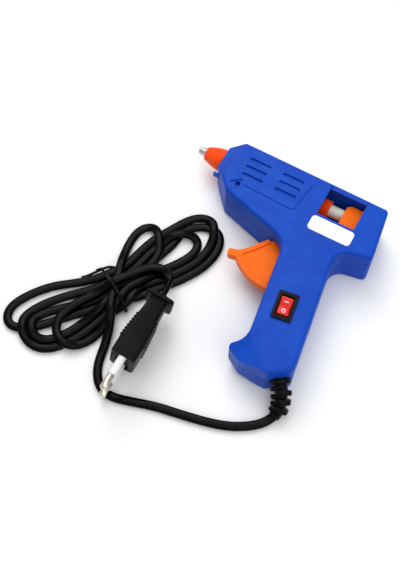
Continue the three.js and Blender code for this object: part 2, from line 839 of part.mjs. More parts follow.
// The strain relief: a flange inside the base, a collar outside it, and a tapered sleeve with
// rings that bends down to the table. The swell is how much thicker it is made all round.
function reliefBody(swell) {
  const curve = reliefCurve();
  const length = curve.getLength();
  const rings = 5;
  const profile = [[0, 0], [4.6, 0], [4.6, 2.6], [3.4, 2.8], [3.4, 6.2], [5.4, 6.6], [5.4, 8.6]];
  const from = 9.4;
  for (let i = 0; i < rings; i++) {
    const radius = 3.9 - 0.32 * i;
    const y = from + (i * (length - from)) / rings;
    const step = (length - from) / rings;
    profile.push([radius - 1, y], [radius, y + 0.3 * step], [radius, y + 0.8 * step]);
  }
  profile.push([2, length], [0, length]);
  const points = profile.map(([r, y]) => new THREE.Vector2(r > 0 ? r + swell : 0, y));
  return solid(bentAlong(new THREE.LatheGeometry(points, 12), length, curve));
}

function strainRelief() {
  return piece("strain_relief", reliefBody(0), BLACK);
}

// The lead's centreline from the strain relief to the hank, on the table.
const LEAD = [
  [49.1, -69, 2.6],
  [47.4, -72.2, 1.8],
  [42.6, -77, 1.7],
  [33.6, -82.6, 1.7],
  [22.5, -86.5, 1.7],
  [7.7, -89.8, 1.7],
  [-5.4, -92.4, 1.7],
  [-18.4, -96.4, 1.7],
  [-27.8, -98.8, 1.7],
  [-35.4, -97.4, 1.7],
  [-41, -91.2, 1.7],
  [-43.8, -84.4, 1.7],
];

// The hank's outer edge, counter-clockwise.
const HANK = [
  [-42.2, -81.9],
  [-45.6, -66],
  [-48, -53],
  [-43, -38.6],
  [-35, -28.2],
  [-27, -21.4],
  [-20, -9],
  [-18.6, 0],
  [-21, 9.6],
  [-30, 16.6],
  [-41, 18],
  [-49.4, 8],
  [-55, -0.8],
  [-62, -1.2],
  [-68.4, -7],
  [-69, -18],
  [-67, -30],
  [-68.4, -40],
  [-79, -49.4],
  [-92, -60],
  [-101, -71],
  [-104, -81],
  [-102, -90],
  [-95, -94],
  [-86, -95],
  [-77, -96.4],
  [-68, -91.4],
  [-60, -90],
  [-53.6, -84.2],
  [-47.4, -83.2],
];

function cordLead() {
  const body = swept(LEAD, oval(CORD_HEIGHT, CORD_WIDTH), 48);
  return piece("cord_lead", body, BLACK);
}

function cordHank() {
  return piece("cord_hank", prism(polygon(HANK), 0, HANK_HEIGHT), BLACK);
}

// The last stretch, from the hank's side up to the plug.
function cordTail(entry) {
  const points = [
    [-34, -31.2, 6.6],
    [-30.8, -33.8, 9.6],
    [-29.4, -38, 14],
    [-29.2, -41.4, 16.6],
    entry,
  ];
  return piece("cord_tail", swept(points, oval(3.4, 3.4), 8), BLACK);
}

// The tie round the hank's waist: a flat strap over the top with a short leg on each side.
function twistTie() {
  const half = 14.6;
  const body = join([
    block([-half, -1.2, HANK_HEIGHT + GAP], [half, 1.2, HANK_HEIGHT + 1.3]),
    block([-half, -1.2, 4], [-half + 1, 1.2, HANK_HEIGHT + 1.3]),
    block([half - 1, -1.2, 4], [half, 1.2, HANK_HEIGHT + 1.3]),
  ]);
  const turn = new THREE.Matrix4().makeRotationZ(THREE.MathUtils.degToRad(-31));
  turn.setPosition(-58.4, -46.5, 0);
  return piece("twist_tie", body.transform(turn.elements), BLACK);
}

// The plug stands on its narrow edge: pins one above the other, leaning and nose down a little.
// Its own frame: -y is the way the pins point, z from the lower pin to the upper, y = 0 the face.
const PLUG_PLACE = new THREE.Matrix4()
  .makeTranslation(-29.4, -84, 15.6)
  .multiply(new THREE.Matrix4().makeRotationY(THREE.MathUtils.degToRad(10)))
  .multiply(new THREE.Matrix4().makeRotationX(THREE.MathUtils.degToRad(2)));

function onPlug(name, body, material) {
  return piece(name, body.transform(PLUG_PLACE.elements), material);
}

function plugBody() {
  const side = [
    [0, -PLUG_HEIGHT / 2, 1.5],
    [12, -PLUG_HEIGHT / 2, 4],
    [PLUG_LENGTH, -7.5, 1.5],
    [PLUG_LENGTH, 7.5, 1.5],
    [12, PLUG_HEIGHT / 2, 4],
    [0, PLUG_HEIGHT / 2, 1.5],
  ];
  const thick = PLUG_THICKNESS / 2;
  const slab = prism(rounded(side, 3), -thick, thick, 1);
  const turn = new THREE.Matrix4().makeBasis(
    new THREE.Vector3(0, 1, 0),
    new THREE.Vector3(0, 0, 1),
    new THREE.Vector3(1, 0, 0),
  );
  return onPlug("plug_body", slab.transform(turn.elements), BLACK);
}

function plugPin(index) {
  const z = (index === 0 ? 1 : -1) * (PIN_PITCH / 2);
  const name = index === 0 ? "upper" : "lower";
  const metal = rod([0, -19, z], [0, -10.3, z], PIN_RADIUS, 12).add(
    rod([0, -10.5, z], [0, -GAP, z], PIN_RADIUS - 0.8, 12),
  );
  const sleeve = tube([0, -10, z], [0, -GAP, z], PIN_RADIUS, PIN_RADIUS - 0.5, 12);
  return [
    onPlug(`plug_pin_${name}`, metal, NICKEL),
    onPlug(`pin_sleeve_${name}`, sleeve, WHITE),
  ];
}

// ---- The whole part ----
const gun = new THREE.Group();
gun.position.copy(GUN_PLACE);
gun.add(
  leftShell(),
  rightShell(),
  ...SCREW_PLACES.map((place, index) => screw(index)),
  label(),
  nozzle(),
  nozzleCover(),
  heatChamber(),
  chamberCollar(),
  ...heaterStack(),
  heaterClip(),
  inletSleeve(),
  sleeveClip(),
  glueStick(),
  carriage(),
  trigger(),
  triggerSpring(),
  switchBody(),
  rocker(),
  switchTerminal(0),
  switchTerminal(1),
  ...wiring(),
  cordClamp(),
  clampScrew(0),
  clampScrew(1),
  strainRelief(),
);

const group = new THREE.Group();
const plugEntry = new THREE.Vector3(0, PLUG_LENGTH + 2 * GAP, 0).applyMatrix4(PLUG_PLACE);
group.add(
  gun,
  cordLead(),
  cordHank(),
  cordTail(plugEntry.toArray()),
  twistTie(),
  plugBody(),
  ...plugPin(0),
  ...plugPin(1),
);

export default group;
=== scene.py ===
"""Looks of a small corded hot glue gun, its mains lead tied in a hank, and its two-pin plug.

Lengths in the tables are millimetres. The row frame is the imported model's. The gun's own frame
has x along the barrel from the nozzle, y up the grip to the barrel and z to the gun's left side.
"""

import math

import bpy
import numpy as np
from mathutils import Matrix, Vector


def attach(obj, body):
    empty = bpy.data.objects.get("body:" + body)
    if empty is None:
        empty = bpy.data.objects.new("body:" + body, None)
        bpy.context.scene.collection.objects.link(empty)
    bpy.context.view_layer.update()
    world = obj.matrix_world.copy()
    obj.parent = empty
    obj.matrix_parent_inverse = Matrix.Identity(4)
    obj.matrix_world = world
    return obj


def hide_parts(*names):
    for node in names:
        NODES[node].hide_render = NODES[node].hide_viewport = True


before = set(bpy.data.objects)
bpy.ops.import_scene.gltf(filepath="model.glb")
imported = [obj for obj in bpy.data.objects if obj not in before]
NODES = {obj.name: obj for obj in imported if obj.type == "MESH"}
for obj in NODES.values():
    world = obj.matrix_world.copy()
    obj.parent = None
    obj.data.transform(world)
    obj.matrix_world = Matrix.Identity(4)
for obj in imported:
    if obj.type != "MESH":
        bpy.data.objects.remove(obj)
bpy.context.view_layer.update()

MM = 0.001
GUN = Matrix.Translation(Vector((-56.15, 47.85, 13.25)) * MM)
PLUG = (
    Matrix.Translation(Vector((-29.4, -84, 15.6)) * MM)
    @ Matrix.Rotation(math.radians(10), 4, "Y")
    @ Matrix.Rotation(math.radians(2), 4, "X")
)


# ---- Camera ----
CAMERA_AZIMUTH = math.radians(29.1)
CAMERA_ELEVATION = math.radians(64.5)
CAMERA_DISTANCE = 480
CAMERA_TARGET = Vector((-19.3, -20.9, 0))
CAMERA_LENS = 55.8


def make_camera():
    data = bpy.data.cameras.new("camera")
    data.lens = CAMERA_LENS
    data.clip_start = 0.02
    data.clip_end = 20
    camera = bpy.data.objects.new("camera", data)
    back = Vector((
        math.sin(CAMERA_AZIMUTH) * math.cos(CAMERA_ELEVATION),
        -math.cos(CAMERA_AZIMUTH) * math.cos(CAMERA_ELEVATION),
        math.sin(CAMERA_ELEVATION),
    ))
    camera.location = (CAMERA_TARGET + back * CAMERA_DISTANCE) * MM
    camera.rotation_mode = "QUATERNION"
    camera.rotation_quaternion = (-back).to_track_quat("-Z", "Y")
    bpy.context.scene.collection.objects.link(camera)
    bpy.context.scene.camera = camera


make_camera()


# ---- Lines and meshes ----
def evenly(points, step):
    """The same line with its points a step apart."""
    lengths = np.linalg.norm(np.diff(points, axis=0), axis=1)
    along = np.concatenate([[0], np.cumsum(lengths)])
    stations = np.linspace(0, along[-1], max(2, round(along[-1] / step) + 1))
    return np.column_stack([np.interp(stations, along, points[:, i]) for i in range(3)])


def smooth_line(points, step):
    """Points a step apart along a Catmull-Rom curve through the given ones."""
    p = np.array(points, float)
    p = np.vstack([2 * p[0] - p[1], p, 2 * p[-1] - p[-2]])
    fine = []
    for a, b, c, d in zip(p, p[1:], p[2:], p[3:]):
        for t in np.linspace(0, 1, 16, endpoint=False):
            fine.append(0.5 * (
                2 * b + (c - a) * t + (2 * a - 5 * b + 4 * c - d) * t**2
                + (3 * b - a - 3 * c + d) * t**3
            ))
    fine.append(p[-2])
    return evenly(np.array(fine), step)


def tangents(points):
    along = np.gradient(points, axis=0)
    return along / np.linalg.norm(along, axis=1, keepdims=True)


def mesh_object(name, vertices, faces, place=None):
    """A smooth-shaded object from vertices in millimetres, moved by a place matrix."""
    mesh = bpy.data.meshes.new(name)
    mesh.from_pydata([tuple(v) for v in np.array(vertices, float) * MM], [], faces)
    if place is not None:
        mesh.transform(place)
    mesh.polygons.foreach_set("use_smooth", [True] * len(mesh.polygons))
    mesh.update()
    made = bpy.data.objects.new(name, mesh)
    bpy.context.scene.collection.objects.link(made)
    return made


def grid_faces(rings, sides, start=0):
    """Quads between closed rings of vertices, with a flat cap at each end."""
    faces = []
    for i in range(rings - 1):
        for j in range(sides):
            k = (j + 1) % sides
            a = start + i * sides
            faces.append((a + j, a + k, a + sides + k, a + sides + j))
    faces.append(tuple(start + j for j in reversed(range(sides))))
    faces.append(tuple(start + (rings - 1) * sides + j for j in range(sides)))
    return faces


def loft(name, rings, place=None):
    """A closed body through rings of points, each ring the same number of points."""
    sides = len(rings[0])
    return mesh_object(name, np.vstack(rings), grid_faces(len(rings), sides), place)


def turned(name, profile, place=None, sides=64):
    """A body turned about its own x axis from [x, radius] pairs, ending on the axis or flat."""
    angles = np.arange(sides) * 2 * math.pi / sides
    ring = np.column_stack([np.zeros(sides), np.cos(angles), np.sin(angles)])
    rings = [ring * max(r, 0.01) + [x, 0, 0] for x, r in profile]
    return loft(name, rings, place)


def rounded_profile(corners, radius=0.3, steps=4):
    """[x, radius] pairs with each inner corner rounded off."""
    pairs = [np.array(c, float) for c in corners]
    points = [pairs[0]]
    for before, corner, after in zip(pairs, pairs[1:], pairs[2:]):
        back, ahead = before - corner, after - corner
        size = min(radius, np.linalg.norm(back) / 2.1, np.linalg.norm(ahead) / 2.1)
        start = corner + back / np.linalg.norm(back) * size
        end = corner + ahead / np.linalg.norm(ahead) * size
        for t in np.linspace(0, 1, steps + 1):
            points.append((1 - t) ** 2 * start + 2 * t * (1 - t) * corner + t**2 * end)
    points.append(pairs[-1])
    return points


def swept(name, points, widths, heights, wide, sides=16, square=2.6):
    """A tube along a line with a superellipse section, its wide axis held to a direction."""
    along = tangents(points)
    across = wide - (wide * along).sum(1, keepdims=True) * along
    across /= np.linalg.norm(across, axis=1, keepdims=True)
    normal = np.cross(along, across)
    angles = (np.arange(sides) + 0.5) * 2 * math.pi / sides
    c, s = np.cos(angles), np.sin(angles)
    x = np.sign(c) * np.abs(c) ** (2 / square)
    y = np.sign(s) * np.abs(s) ** (2 / square)
    rings = []
    for i, centre in enumerate(points):
        rings.append(
            centre
            + np.outer(x * widths[i] / 2, across[i])
            + np.outer(y * heights[i] / 2, normal[i])
        )
    return loft(name, rings)


# ---- The mains lead: one flat two-core cord ----
CORD_WIDTH = 4.8
CORD_HEIGHT = 3
CORD_STEP = 2.4
PLUG_TWIST = 34  # the cord turns from flat to upright over this last stretch
TIE_CENTRE = np.array([-58.4, -46.5])
TIE_WAY = np.array([math.cos(math.radians(-31)), math.sin(math.radians(-31))])
TIE_AHEAD = np.array([-TIE_WAY[1], TIE_WAY[0]])  # along the bundle
TIE_THICKNESS = 0.9

# From the strain relief to the hank, along the table.
LEAD = [
    [49.1, -69, 2.6],
    [47.4, -72.2, 1.8],
    [42.6, -77, 1.7],
    [33.6, -82.6, 1.7],
    [22.5, -86.5, 1.7],
    [7.7, -89.8, 1.7],
    [-5.4, -92.4, 1.7],
    [-18.4, -96.4, 1.7],
    [-27.8, -98.8, 1.7],
    [-35.4, -97.4, 1.7],
    [-41, -91.2, 1.7],
    [-43.8, -84.4, 1.9],
]
# The hank in the order in which the cord runs, over the bundle and round each loop.
HANK_RUN = [
    [-46, -74, 6], [-49, -64, 9], [-54, -53, 9.5], [-58, -42, 9.5],
    [-63, -28, 8.5], [-65.4, -16, 7], [-63.5, -6.5, 6], [-57, -3.5, 6], [-50.5, -9, 6.5],
    [-46.5, -19, 7.5], [-48.5, -32, 8], [-54, -45, 8],
    [-62, -58, 5.4], [-73, -67, 3.2], [-83.5, -76.5, 3], [-87, -86, 4.8],
    [-79, -92, 4.8], [-70, -86.5, 2.6], [-63, -74, 3], [-58.5, -62, 5], [-55.5, -49, 5.4],
    [-52.5, -35, 4], [-50.5, -19, 1.8], [-46.5, -4, 1.8], [-38.5, 8.5, 1.8],
    [-28, 12, 1.8], [-22.5, 4, 1.8], [-23, -8, 1.8], [-31, -22.5, 1.8], [-43, -36, 1.8],
    [-53, -50, 1.8], [-64, -63, 1.8], [-75, -76, 1.8], [-86, -87.5, 1.8],
    [-96, -91, 1.8], [-101, -84, 1.8], [-97.5, -73.5, 1.8], [-88.5, -61.5, 1.8],
    [-77, -52.5, 1.8], [-64.6, -42.4, 1.8],
    [-57, -29, 2.4], [-53, -14, 3.6], [-47.5, 3, 4.6], [-40, 14, 5.6], [-30, 14.4, 6],
    [-24.5, 5, 6], [-26, -8, 5.4], [-34.5, -22, 4.8], [-46.5, -37, 4.8],
    [-53.5, -54, 4.8], [-57, -69, 4.8], [-62, -83, 5.4], [-72, -92.6, 7], [-83, -92.6, 8],
    [-89.5, -85, 7.8], [-87, -74, 5.2], [-78, -62, 4.4], [-64, -48, 4.8],
    [-56, -33, 5.4], [-52.5, -20, 5.6], [-46, -4, 5.2], [-38.5, 2.6, 5],
    [-31.5, 0, 5], [-30.5, -10, 5], [-36.5, -22, 6], [-45, -35, 7.4],
    [-51.5, -48, 7.8], [-52.5, -62, 7.6], [-53.5, -75, 6.6], [-60, -84.5, 6.6],
    [-68.5, -85.5, 6.6], [-74, -78, 6.6], [-72, -67, 6.8], [-64, -55, 8],
    [-56.5, -43, 10], [-50, -32, 11],
]
# From the hank up into the plug's cord end.
TAIL = [
    [-44.5, -26.4, 11.4],
    [-38, -25.4, 11.4],
    [-33, -29.4, 12.2],
    [-30.3, -35, 14.2],
    [-29.4, -40, 16.2],
]
PLUG_ENTRY = PLUG @ (Vector((0, 38, 0)) * MM) / MM
CORD_ROOT = [51.1, -64.1, 4.5]  # inside the strain relief's end


TABLE_GAP = 0.1
TIE_HUMP = TIE_THICKNESS + 0.2
TIE_HUMP_ALONG, TIE_HUMP_ACROSS = 9, 16


def floor_height(points):
    """How high the cord's underside lies: the table, and the tie's wire under the bundle."""
    along_bundle = (points[:, :2] - TIE_CENTRE) @ TIE_AHEAD
    across = (points[:, :2] - TIE_CENTRE) @ TIE_WAY
    hump = np.exp(-((along_bundle / TIE_HUMP_ALONG) ** 2)) * (np.abs(across) < TIE_HUMP_ACROSS)
    return TABLE_GAP + hump * TIE_HUMP


SETTLE_ROUNDS = 420
SETTLE_EVEN = 0.2  # how much of a point's move its neighbours take up
SETTLE_HOLD = 0.02  # pull back to the drawn plan
SETTLE_SINK = 0.06  # millimetres a round
TURN_CLEARANCE = CORD_WIDTH * 1.03
NEIGHBOURS = 5  # points closer than this along the line don't push each other
LEAD_FREE = 4  # points of the lead's end that move with the hank
TAIL_PINNED = 7  # points at the plug that don't move
LAST_PASSES = 3
LAST_LINE_STEP = 1.4


def settled(drawn, pinned_start, pinned_end):
    """The drawn line sunk to the table, its turns pushed off each other and its plan held."""
    squeeze = np.array([1, 1, CORD_WIDTH / CORD_HEIGHT])
    home = drawn * squeeze
    p = home.copy()
    n = len(p)
    index = np.arange(n)
    apart = np.abs(index[:, None] - index[None, :]) > NEIGHBOURS
    free = ((index >= pinned_start) & (index < n - pinned_end))[:, None]
    for _ in range(SETTLE_ROUNDS):
        step = np.zeros_like(p)
        moved = p - home
        step[1:-1] += SETTLE_EVEN * (moved[:-2] + moved[2:] - 2 * moved[1:-1])
        step[:, :2] += SETTLE_HOLD * (home - p)[:, :2]
        step[:, 2] -= SETTLE_SINK
        p += step * free
        delta = p[:, None, :] - p[None, :, :]
        distance = np.linalg.norm(delta, axis=2) + 1e-9
        overlap = np.where(apart, np.clip(TURN_CLEARANCE - distance, 0, None), 0)
        push = (delta / distance[:, :, None] * overlap[:, :, None]).sum(1)
        count = np.maximum((overlap > 0).sum(1), 1)[:, None]
        p += 0.5 * push / np.sqrt(count) * free
        low = (floor_height(p) + CORD_HEIGHT / 2) * squeeze[2]
        p[:, 2] = np.where(free[:, 0], np.maximum(p[:, 2], low), p[:, 2])
    return p / squeeze


def cord_line():
    drawn = smooth_line([CORD_ROOT, *LEAD, *HANK_RUN, *TAIL, list(PLUG_ENTRY)], CORD_STEP)
    lead_points = round(np.linalg.norm(np.diff(np.array(LEAD), axis=0), axis=1).sum() / CORD_STEP)
    line = settled(drawn, pinned_start=lead_points - LEAD_FREE, pinned_end=TAIL_PINNED)
    for _ in range(LAST_PASSES):
        line[1:-1] = 0.25 * line[:-2] + 0.5 * line[1:-1] + 0.25 * line[2:]
    return smooth_line(line, LAST_LINE_STEP)


def cord_wide(line):
    """The cord's wide axis: level along its run, turning to the plug's upright at its end."""
    along = tangents(line)
    level = np.cross(along, [0, 0, 1])
    level /= np.linalg.norm(level, axis=1, keepdims=True)
    upright = np.array(PLUG.to_3x3() @ Vector((0, 0, -1)))
    left = np.linalg.norm(np.diff(line, axis=0), axis=1)[::-1].cumsum()[::-1]
    share = np.clip(1 - np.append(left, 0) / PLUG_TWIST, 0, 1)[:, None]
    share = share * share * (3 - 2 * share)
    return level * (1 - share) + upright * share


# ---- Materials ----
def linear(red, green, blue):
    """A scene colour from 8-bit display values."""
    parts = [c / 255 for c in (red, green, blue)]
    return [c / 12.92 if c <= 0.04045 else ((c + 0.055) / 1.055) ** 2.4 for c in parts] + [1]


class Surface:
    """A principled material with helpers for the node patterns that drive it."""

    def __init__(self, name, roughness=0.5, metallic=0.0, specular=0.12):
        self.material = bpy.data.materials.new(name)
        self.material.use_nodes = True
        self.nodes = self.material.node_tree.nodes
        self.links = self.material.node_tree.links
        self.shader = self.nodes["Principled BSDF"]
        self.set("Roughness", roughness)
        self.set("Metallic", metallic)
        self.set("Specular IOR Level", 0.5 if metallic else specular)
        self.place = self.nodes.new("ShaderNodeTexCoord").outputs["Object"]
        self.normal = None

    def set(self, socket, value):
        self.shader.inputs[socket].default_value = value

    def stretched(self, scale):
        mapping = self.nodes.new("ShaderNodeMapping")
        mapping.inputs["Scale"].default_value = scale
        self.links.new(self.place, mapping.inputs["Vector"])
        return mapping.outputs["Vector"]

    def noise(self, size, detail=3.0, stretch=(1, 1, 1)):
        """Noise with features about size millimetres across."""
        node = self.nodes.new("ShaderNodeTexNoise")
        node.inputs["Scale"].default_value = 1 / (size * MM)
        node.inputs["Detail"].default_value = detail
        self.links.new(self.stretched(stretch), node.inputs["Vector"])
        return node.outputs["Fac"]

    def ranged(self, value, low, high, to_low, to_high):
        node = self.nodes.new("ShaderNodeMapRange")
        self.links.new(value, node.inputs["Value"])
        for socket, number in zip(
            ("From Min", "From Max", "To Min", "To Max"), (low, high, to_low, to_high)
        ):
            node.inputs[socket].default_value = number
        return node.outputs["Result"]

    def mixed(self, share, first, second):
        node = self.nodes.new("ShaderNodeMix")
        node.data_type = "RGBA"
        self.links.new(share, node.inputs["Factor"])
        for socket, colour in zip((node.inputs[6], node.inputs[7]), (first, second)):
            if isinstance(colour, bpy.types.NodeSocket):
                self.links.new(colour, socket)
            else:
                socket.default_value = colour
        return node.outputs[2]

    def colour(self, socket):
        self.links.new(socket, self.shader.inputs["Base Color"])

    def rough(self, value, low, high):
        self.links.new(self.ranged(value, 0.3, 0.7, low, high), self.shader.inputs["Roughness"])

    def bump(self, height, depth):
        """Adds a bump of about depth millimetres."""
        node = self.nodes.new("ShaderNodeBump")
        node.inputs["Distance"].default_value = depth * MM
        self.links.new(height, node.inputs["Height"])
        if self.normal:
            self.links.new(self.normal, node.inputs["Normal"])
        self.normal = node.outputs["Normal"]
        self.links.new(self.normal, self.shader.inputs["Normal"])

    def worn(self, base, lighter, darker, patch=14):
        """Tone that drifts across the piece, with fine specks of dust."""
        drift = self.ranged(self.noise(patch, 2), 0.35, 0.65, 0, 1)
        dust = self.ranged(self.noise(0.5, 5), 0.66, 0.74, 0, 0.35)
        self.colour(self.mixed(dust, self.mixed(drift, darker, base), lighter))


def moulded(name, base, lighter, darker, roughness, grain=0.35, grain_depth=0.006, coat=0.0):
    """Injection-moulded plastic: a fine grain, shallow waves and a few hairline scratches."""
    surface = Surface(name, roughness)
    surface.worn(base, lighter, darker)
    surface.rough(surface.noise(6, 4), roughness - 0.07, roughness + 0.08)
    surface.bump(surface.noise(grain, 4), grain_depth)
    scratches = surface.ranged(surface.noise(1.6, 2, (1, 14, 1)), 0.68, 0.7, 0, 1)
    surface.bump(scratches, -0.004)
    surface.bump(surface.noise(22, 1), 0.05)
    surface.set("Coat Weight", coat)
    surface.set("Coat Roughness", 0.2)
    return surface.material


def silicone(name, base, lighter, darker):
    surface = Surface(name, 0.5)
    surface.worn(base, lighter, darker, 8)
    surface.rough(surface.noise(3, 4), 0.42, 0.6)
    surface.bump(surface.noise(0.25, 3), 0.008)
    surface.set("Subsurface Weight", 0.15)
    surface.set("Subsurface Radius", (0.002, 0.0007, 0.0003))
    surface.set("Sheen Weight", 0.1)
    return surface.material


def metal(name, base, darker, roughness, brush=(1, 1, 1)):
    surface = Surface(name, roughness, 1.0)
    drift = surface.ranged(surface.noise(5, 4), 0.35, 0.65, 0, 1)
    surface.colour(surface.mixed(drift, darker, base))
    marks = surface.noise(0.5, 5, brush)
    surface.rough(marks, roughness - 0.08, roughness + 0.12)
    surface.bump(marks, 0.006)
    return surface.material


def cord_pvc():
    """Gloss PVC with the faint ripples of extrusion, handling marks and a little dust."""
    surface = Surface("cord_pvc", 0.3, specular=0.05)
    surface.worn(linear(4, 4, 5), linear(24, 24, 26), linear(2, 2, 3), 9)
    surface.rough(surface.noise(2.5, 4), 0.15, 0.34)
    surface.bump(surface.noise(3.2, 2), 0.03)
    surface.bump(surface.noise(0.3, 3), 0.004)
    surface.set("Coat Weight", 0.06)
    surface.set("Coat Roughness", 0.1)
    return surface.material


def label_vinyl():
    surface = Surface("label_vinyl", 0.45)
    drift = surface.ranged(surface.noise(9, 3), 0.35, 0.65, 0, 1)
    surface.colour(surface.mixed(drift, linear(238, 238, 236), linear(250, 250, 249)))
    surface.rough(surface.noise(2, 3), 0.36, 0.55)
    surface.bump(surface.noise(5, 2), 0.02)
    return surface.material


def hot_glue():
    """Cloudy hot-melt glue, with drawn lines along the stick."""
    surface = Surface("hot_glue", 0.3)
    cloud = surface.ranged(surface.noise(4, 3), 0.3, 0.7, 0, 1)
    surface.colour(surface.mixed(cloud, linear(206, 204, 192), linear(228, 227, 218)))
    surface.rough(surface.noise(1.5, 3), 0.22, 0.42)
    surface.bump(surface.noise(0.8, 2, (0.1, 1, 1)), 0.02)
    surface.set("Subsurface Weight", 0.4)
    surface.set("Subsurface Radius", (0.003, 0.003, 0.0025))
    return surface.material


def ceramic():
    surface = Surface("ceramic", 0.8)
    surface.worn(linear(112, 112, 116), linear(150, 148, 145), linear(86, 86, 90), 3)
    surface.bump(surface.noise(0.3, 5), 0.03)
    return surface.material


BLUE = moulded("shell_abs", linear(12, 74, 186), linear(48, 100, 198), linear(8, 66, 178), 0.42)
ORANGE = moulded("trigger_abs", linear(255, 114, 2), linear(255, 146, 40), linear(250, 104, 1), 0.4)
RED_SILICONE = silicone("silicone", linear(255, 78, 2), linear(255, 112, 34), linear(244, 66, 1))
SWITCH_BLACK = moulded(
    "switch_plastic", linear(9, 9, 10), linear(34, 34, 34), linear(6, 6, 7), 0.38, 0.3, 0.008
)
ROCKER_RED = moulded(
    "rocker_plastic", linear(226, 26, 16), linear(238, 70, 56), linear(212, 20, 12), 0.28,
    0.5, 0.003, 0.3,
)
PLUG_BLACK = moulded(
    "plug_pvc", linear(4, 4, 5), linear(22, 22, 22), linear(3, 3, 3), 0.42, 0.5, 0.03
)
MARK_WHITE = moulded(
    "mark_paint", linear(240, 236, 232), linear(252, 250, 248), linear(226, 220, 216), 0.5
)
SLEEVE_WHITE = moulded(
    "pin_sleeve", linear(238, 238, 236), linear(250, 250, 250), linear(226, 226, 222), 0.4
)
ALUMINIUM = metal("aluminium", linear(208, 208, 204), linear(176, 172, 164), 0.34, (0.2, 1, 1))
STEEL = metal("steel", linear(190, 192, 196), linear(140, 142, 146), 0.32)
BRASS = metal("brass", linear(214, 180, 104), linear(168, 132, 70), 0.34)
NICKEL = metal("nickel", linear(232, 228, 214), linear(196, 190, 172), 0.2, (1, 0.2, 1))
CERAMIC = ceramic()
CORD = cord_pvc()
GLUE = hot_glue()
LABEL = label_vinyl()
FILM = moulded("film", linear(206, 140, 44), linear(226, 176, 92), linear(184, 116, 30), 0.3)
WIRE_BROWN = moulded("wire_brown", linear(112, 66, 34), linear(150, 106, 74), linear(92, 52, 26), 0.4)
WIRE_GREY = moulded("wire_grey", linear(206, 206, 206), linear(230, 230, 230), linear(180, 180, 180), 0.4)
WIRE_BLUE = moulded("wire_blue", linear(44, 92, 176), linear(96, 132, 200), linear(32, 74, 150), 0.4)

NODE_MATERIALS = {
    BLUE: ["left_shell", "right_shell"],
    ORANGE: ["trigger", "carriage"],
    RED_SILICONE: ["inlet_sleeve"],
    SWITCH_BLACK: ["switch_body", "cord_clamp"],
    LABEL: ["label"],
    ALUMINIUM: ["heat_chamber"],
    STEEL: [
        "heater_clip", "sleeve_clip", "trigger_spring", "clamp_screw_1", "clamp_screw_2",
        "screw_1", "screw_2", "screw_3", "screw_4", "screw_5",
    ],
    BRASS: ["electrode_upper", "electrode_lower", "switch_terminal_1", "switch_terminal_2"],
    CERAMIC: ["chamber_collar", "ptc_heater"],
    FILM: ["insulating_film"],
    WIRE_BROWN: ["live_wire"],
    WIRE_GREY: ["switched_wire"],
    WIRE_BLUE: ["neutral_wire"],
}
# Width in millimetres of the rounding put on each node's edges; the others only shade smooth.
EDGE_ROUNDING = {
    "left_shell": 0.28,
    "right_shell": 0.28,
    "trigger": 0.45,
    "carriage": 0.4,
    "switch_body": 0.3,
    "cord_clamp": 0.2,
    "heater_clip": 0.1,
    "heat_chamber": 0.2,
}


def smooth_by_angle(degrees):
    """A node group that welds a mesh and shades it smooth except over sharp edges."""
    group = bpy.data.node_groups.new("smooth_by_angle", "GeometryNodeTree")
    group.interface.new_socket("Geometry", in_out="INPUT", socket_type="NodeSocketGeometry")
    group.interface.new_socket("Geometry", in_out="OUTPUT", socket_type="NodeSocketGeometry")
    new, link = group.nodes.new, group.links.new
    weld = new("GeometryNodeMergeByDistance")
    weld.inputs["Distance"].default_value = 0.01 * MM
    plain = new("GeometryNodeRemoveAttribute")
    plain.inputs["Name"].default_value = "custom_normal"
    faces = new("GeometryNodeSetShadeSmooth")
    edges = new("GeometryNodeSetShadeSmooth")
    edges.domain = "EDGE"
    sharp = new("GeometryNodeSetShadeSmooth")
    sharp.domain = "EDGE"
    sharp.inputs["Shade Smooth"].default_value = False
    over = new("FunctionNodeCompare")
    over.operation = "GREATER_THAN"
    over.inputs[1].default_value = math.radians(degrees)
    link(new("GeometryNodeInputMeshEdgeAngle").outputs["Unsigned Angle"], over.inputs[0])
    link(over.outputs["Result"], sharp.inputs["Selection"])
    chain = [new("NodeGroupInput"), plain, weld, faces, edges, sharp, new("NodeGroupOutput")]
    for before, after in zip(chain, chain[1:]):
        link(before.outputs["Geometry"], after.inputs["Geometry"])
    return group


SMOOTH = smooth_by_angle(32)


def soften(node, rounding):
    """Smooth shading and a small rounding on a CAD node's edges, by modifiers."""
    node.modifiers.new("smooth", "NODES").node_group = SMOOTH
    if not rounding:
        return
    flat = node.modifiers.new("join_flats", "DECIMATE")
    flat.decimate_type = "DISSOLVE"
    flat.angle_limit = math.radians(0.6)
    bevel = node.modifiers.new("edges", "BEVEL")
    bevel.width = rounding * MM
    bevel.segments = 3
    bevel.limit_method = "ANGLE"
    bevel.angle_limit = math.radians(38)
    bevel.harden_normals = True
    weighted = node.modifiers.new("normals", "WEIGHTED_NORMAL")
    weighted.keep_sharp = True


def finish_nodes():
    for material, names in NODE_MATERIALS.items():
        for name in names:
            NODES[name].data.materials.clear()
            NODES[name].data.materials.append(material)
            soften(NODES[name], EDGE_ROUNDING.get(name))


def placed(piece, material, body, slot, *replaced):
    """Gives a made piece its material, the body it rides on and the nodes it stands for."""
    piece.data.materials.append(material)
    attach(piece, body)
    if replaced:
        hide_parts(*replaced)
    return piece


